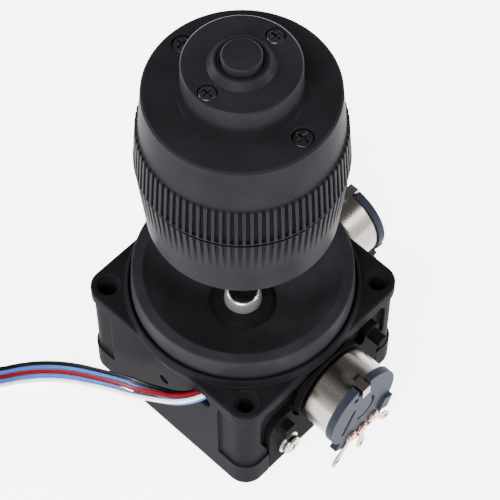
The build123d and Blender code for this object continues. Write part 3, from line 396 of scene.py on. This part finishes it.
# Knob, cap and button: satin black with pale edges, partly wear and partly painted highlight, and black
# recessed screws.
# The two halves of the knob share one finish, with painted shade in the flutes and in the gap between the
# halves.
split_low, split_high, land_low, land_high = 97.0 * MM, 97.4 * MM, 26.0 * MM, 26.1 * MM
split_middle = (split_low + split_high) / 2
lower_slope, upper_slope = 0.0805, -0.074
lower_shade, knurl_shade = 0.30, 0.64


def flutes(coord):
    """Shade in the knob's flutes and in the gap at its split, and 0 on the lands and the smooth bands."""
    x, y, z = coord.parts()
    radius = (x * x + y * y).maths("SQRT")
    lower = (z - split_low) * lower_slope + land_low
    upper = (z - split_high) * upper_slope + land_high
    above = z.maths("GREATER_THAN", split_middle)
    land = lower + (upper - lower) * above
    groove = (land - radius).step(low=0.10 * MM, high=0.55 * MM)
    over_foot = z.step(low=83.5 * MM, high=86.0 * MM)
    under_band = z.step(low=109.2 * MM, high=110.0 * MM, start=1.0, end=0.0)
    shade = over_foot * under_band * (above * (knurl_shade - lower_shade) + lower_shade)
    gap_floor = z.step(low=96.55 * MM, high=96.65 * MM)
    gap_roof = z.step(low=97.46 * MM, high=97.54 * MM, start=1.0, end=0.0)
    return (groove * shade).maths("MAXIMUM", gap_floor * gap_roof)


def cap_foot(coord):
    """Shade at the foot of the cap, where it stands in its own shadow on the knob."""
    return coord.parts()[2].step(low=123.6 * MM, high=129.5 * MM, start=0.62, end=0.0)


knob_black = moulded("knob_black", dark=0.0090, light=0.0120, worn_and_highlit=0.028, rough=0.38,
                     grain=0.3 * MM, edge=0.3 * MM, gloss=0.006, painted_shade=flutes)
cap_black = moulded("cap_black", dark=0.0098, light=0.0128, worn_and_highlit=0.0155, rough=0.36,
                    grain=0.3 * MM, edge=0.14 * MM, gloss=0.04, painted_shade=cap_foot)
screw_black = metal("screw_black", (0.085, 0.085, 0.092, 1.0), rough=0.26, streak=1800.0, dark=0.5)
dress(knob_black, "lower_knob", "upper_knob")
dress(cap_black, "cap_drum", "button")
dress(screw_black, "knob_screws", "cap_screws")


# Potentiometers: slate-blue wafers and tinned lugs as in the CAD, and nickel cans turned here with a soft
# dimple and a slim bent tab. The screws and washers beside them are nickel too.
nickel = metal("can_nickel", (0.215, 0.197, 0.176, 1.0), rough=0.25, streak=260.0, stretch=(0.12, 1.0, 1.0),
               dark=0.95, edge=0.0, scratch=0.0, uneven=0.25)
screw_nickel = metal("screw_nickel", (0.34, 0.315, 0.28, 1.0), rough=0.20, streak=900.0, scratch=0.05)
tinned = metal("lug_tin", (0.24, 0.23, 0.21, 1.0), rough=0.28, streak=2600.0)
wafer_mat, wafer_coord = start_material("wafer_slate")
wafer_cloud = wafer_coord.noise(scale=240.0, detail=5.0, roughness=0.65).step(low=0.3, high=0.7)
wafer_tone = wafer_cloud.blend((0.014, 0.016, 0.0225, 1.0), (0.021, 0.0245, 0.034, 1.0))
wafer_inputs = {"Base Color": wafer_tone, "Roughness": wafer_cloud * 0.1 + 0.5, "Specular IOR Level": 0.03}
wafer_slate = end_material(wafer_mat, wafer_coord, wafer_inputs, wafer_coord.noise(scale=2500.0),
                           depth=0.05 * MM, strength=0.4, round_edges=0.3 * MM)
dress(nickel, "pot_nuts")
dress(screw_nickel, "bracket_screws_x", "bracket_screws_y", "bracket_washers_x", "bracket_washers_y",
      "twist_nut")
dress(tinned, "lugs_x", "lugs_y", "lead_tips")
dress(wafer_slate, "wafer_x", "wafer_y")

pot_axis, can_front, can_back, can_round = 24.0 * MM, 32.0 * MM, 41.2 * MM, 1.1 * MM
can_wide, can_hole, can_sides, can_round_steps = 11.5 * MM, 3.2 * MM, 160, 6
ring_gap, ring_count = 0.3 * MM, 26
dent_deep, dent_wide, dent_from_back = 0.75 * MM, 1.7 * MM, 1.9 * MM
tab_half, tab_top, tab_foot, tab_thick = 1.4 * MM, 11.42 * MM, 8.1 * MM, 0.62 * MM
tab_root, tab_out, tab_bend, tab_bend_cut = 40.2 * MM, 44.1 * MM, 0.5 * MM, 0.15 * MM
sides = {"x": lambda p: (p[2], p[1], p[0] + pot_axis), "y": lambda p: (p[1], p[2], p[0] + pot_axis)}

can_profile = [(can_hole, can_front)]
for k in range(can_round_steps + 1):
    swing = math.radians(90.0 * k / can_round_steps)
    can_profile.append((can_wide - can_round * (1 - math.sin(swing)),
                        can_front + can_round * (1 - math.cos(swing))))
for k in range(ring_count):
    can_profile.append((can_wide, can_front + can_round + (k + 1) * ring_gap))
can_profile += [(can_wide, can_back), (can_hole, can_back)]
tab_strip = [(tab_top - tab_thick, tab_root), (tab_top, tab_root), (tab_top, tab_out - tab_bend),
             (tab_top - tab_bend_cut, tab_out - tab_bend_cut), (tab_top - tab_bend, tab_out),
             (tab_foot, tab_out), (tab_foot, tab_out - tab_thick), (tab_top - tab_thick, tab_out - tab_thick)]


def can_dent(r, h, turn):
    """Depth of the soft dimple on the can's top, beside the wafer's notch."""
    if r < can_wide - can_round:
        return 0.0
    across = can_wide * math.sin(turn) if math.cos(turn) > 0 else can_wide
    away = math.hypot(across, h - can_back + dent_from_back) / dent_wide
    return dent_deep * math.exp(-away ** 2)


for side, place in sides.items():
    can_mesh = bmesh.new()
    turned(can_mesh, can_profile, can_sides, place, can_dent)
    near = [can_mesh.verts.new(place((r, -tab_half, h))) for r, h in tab_strip]
    far = [can_mesh.verts.new(place((r, tab_half, h))) for r, h in tab_strip]
    can_mesh.faces.new(near)
    can_mesh.faces.new(far[::-1])
    for k in range(len(tab_strip)):
        after = (k + 1) % len(tab_strip)
        can_mesh.faces.new((near[k], near[after], far[after], far[k]))
    can = new_piece("can_shell_" + side, can_mesh, nickel)
    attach(can, "base")
    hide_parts("can_" + side)


# Rivets: rolled copper eyelets in a row round the potentiometer's axis, by one Geometry Nodes tree.
# Each is a rounded ring on a tube through the lug and the wafer, and both sides use the same row.
copper = metal("rivet_copper", (0.66, 0.26, 0.13, 1.0), rough=0.28, streak=2600.0)
lug_face = 43.9 * MM
eyelet_sizes = {"Count": 3, "Row radius": 11.0 * MM, "Row step": math.radians(23.0), "Bore radius": 0.5 * MM,
                "Tube radius": 0.9 * MM, "Tube length": 3.4 * MM, "Tube rounding": 0.02 * MM,
                "Head radius": 1.5 * MM, "Head height": 0.5 * MM, "Head rounding": 0.225 * MM,
                "Copper": copper}
ring_sides, corner_steps, tube_drop = 40, 5, 0.47
socket_kinds = {int: "NodeSocketInt", float: "NodeSocketFloat", bpy.types.Material: "NodeSocketMaterial"}
eyelet_tree = bpy.data.node_groups.new("eyelet_row", "GeometryNodeTree")
for label, size in eyelet_sizes.items():
    eyelet_tree.interface.new_socket(label, in_out="INPUT", socket_type=socket_kinds[type(size)])
eyelet_tree.interface.new_socket("Eyelets", in_out="OUTPUT", socket_type="NodeSocketGeometry")
given = eyelet_tree.nodes.new("NodeGroupInput").outputs


def grow(kind, inputs=None, **settings):
    """First output of a new node in the eyelets' tree, with its inputs linked or set."""
    node = eyelet_tree.nodes.new(kind)
    for key, value in settings.items():
        setattr(node, key, value)
    for key, value in (inputs or {}).items():
        for one in value if isinstance(value, list) else [value]:
            if isinstance(one, bpy.types.NodeSocket):
                eyelet_tree.links.new(one, node.inputs[key])
            else:
                node.inputs[key].default_value = one
    return node.outputs[0] if node.outputs else None


def sums(operation, one, other=0.0):
    return grow("ShaderNodeMath", {0: one, 1: other}, operation=operation)


def swept_ring(outer, tall, rounding, middle):
    """Ring of a rounded oblong section round the bore, with its middle at a height."""
    bore = given["Bore radius"]
    section = grow("GeometryNodeCurvePrimitiveQuadrilateral",
                   {"Width": sums("SUBTRACT", outer, bore), "Height": tall})
    section = grow("GeometryNodeFilletCurve",
                   {"Curve": section, "Count": corner_steps, "Radius": rounding}, mode="POLY")
    path = grow("GeometryNodeCurvePrimitiveCircle",
                {"Resolution": ring_sides, "Radius": sums("MULTIPLY", sums("ADD", outer, bore), 0.5)})
    ring = grow("GeometryNodeCurveToMesh", {"Curve": path, "Profile Curve": section})
    lift = grow("ShaderNodeCombineXYZ", {"Z": middle})
    return grow("GeometryNodeTransform", {"Geometry": ring, "Translation": lift})


head = swept_ring(given["Head radius"], given["Head height"], given["Head rounding"],
                  sums("MULTIPLY", given["Head height"], 0.5))
tube = swept_ring(given["Tube radius"], given["Tube length"], given["Tube rounding"],
                  sums("MULTIPLY", given["Tube length"], -tube_drop))
eyelet = grow("GeometryNodeJoinGeometry", {"Geometry": [head, tube]})
row_middle = sums("MULTIPLY", sums("SUBTRACT", given["Count"], 1.0), 0.5)
row_turn = sums("MULTIPLY", sums("SUBTRACT", grow("GeometryNodeInputIndex"), row_middle), given["Row step"])
below = sums("MULTIPLY", sums("MULTIPLY", sums("COSINE", row_turn), given["Row radius"]), -1.0)
beside = sums("MULTIPLY", sums("SINE", row_turn), given["Row radius"])
spot = grow("ShaderNodeCombineXYZ", {"X": below, "Y": beside})
row = grow("GeometryNodePoints", {"Count": given["Count"], "Position": spot})
row = grow("GeometryNodeInstanceOnPoints", {"Points": row, "Instance": eyelet})
row = grow("GeometryNodeRealizeInstances", {"Geometry": row})
row = grow("GeometryNodeSetMaterial", {"Geometry": row, "Material": given["Copper"]})
grow("NodeGroupOutput", {"Eyelets": row})

row_maker = bpy.data.objects.new("eyelet_row", bpy.data.meshes.new("eyelet_row"))
bpy.context.scene.collection.objects.link(row_maker)
modifier = row_maker.modifiers.new("eyelet_row", "NODES")
modifier.node_group = eyelet_tree
for item in eyelet_tree.interface.items_tree:
    if item.in_out == "INPUT":
        modifier[item.identifier] = eyelet_sizes[item.name]
row_data = bpy.data.meshes.new_from_object(row_maker.evaluated_get(bpy.context.evaluated_depsgraph_get()))
row_maker.modifiers.remove(modifier)
bpy.data.objects.remove(row_maker)
for side, place in sides.items():
    row_mesh = bmesh.new()
    row_mesh.from_mesh(row_data)
    for vert in row_mesh.verts:
        vert.co = place((vert.co.x, vert.co.y, vert.co.z + lug_face))
    eyelets = new_piece("eyelets_" + side, row_mesh, copper)
    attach(eyelets, "base")
    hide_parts("rivets_" + side)


# Inside: screws, springs, bails, the knob's works and the switch under the button.
# They are hardly seen, so plain finishes are enough to tell them apart.
zinc = metal("screw_zinc", (0.66, 0.66, 0.68, 1.0), rough=0.30, streak=2600.0)
wire_steel = metal("spring_wire", (0.42, 0.42, 0.44, 1.0), rough=0.32, streak=3000.0)
works_black = moulded("works_black", dark=0.022, light=0.030, worn_and_highlit=0.070, rough=0.48)
board_green = moulded("board_green", dark=0.06, light=0.09, worn_and_highlit=0.16, rough=0.38, tint=(0.35, 1.0, 0.5))
inner_wire = lead_material("inner_insulation", (0.62, 0.62, 0.60, 1.0))
dress(zinc, "bottom_screws", "cover_screws", "retainer_screws", "stick_nut", "twist_plate_screws")
dress(wire_steel, "centring_spring_x", "centring_spring_y", "twist_spring", "button_spring")
dress(works_black, "bail_x", "bail_y", "twist_plate", "twist_pot", "twist_rotor", "tact_switch")
dress(board_green, "switch_board")
dress(inner_wire, "stick_leads")
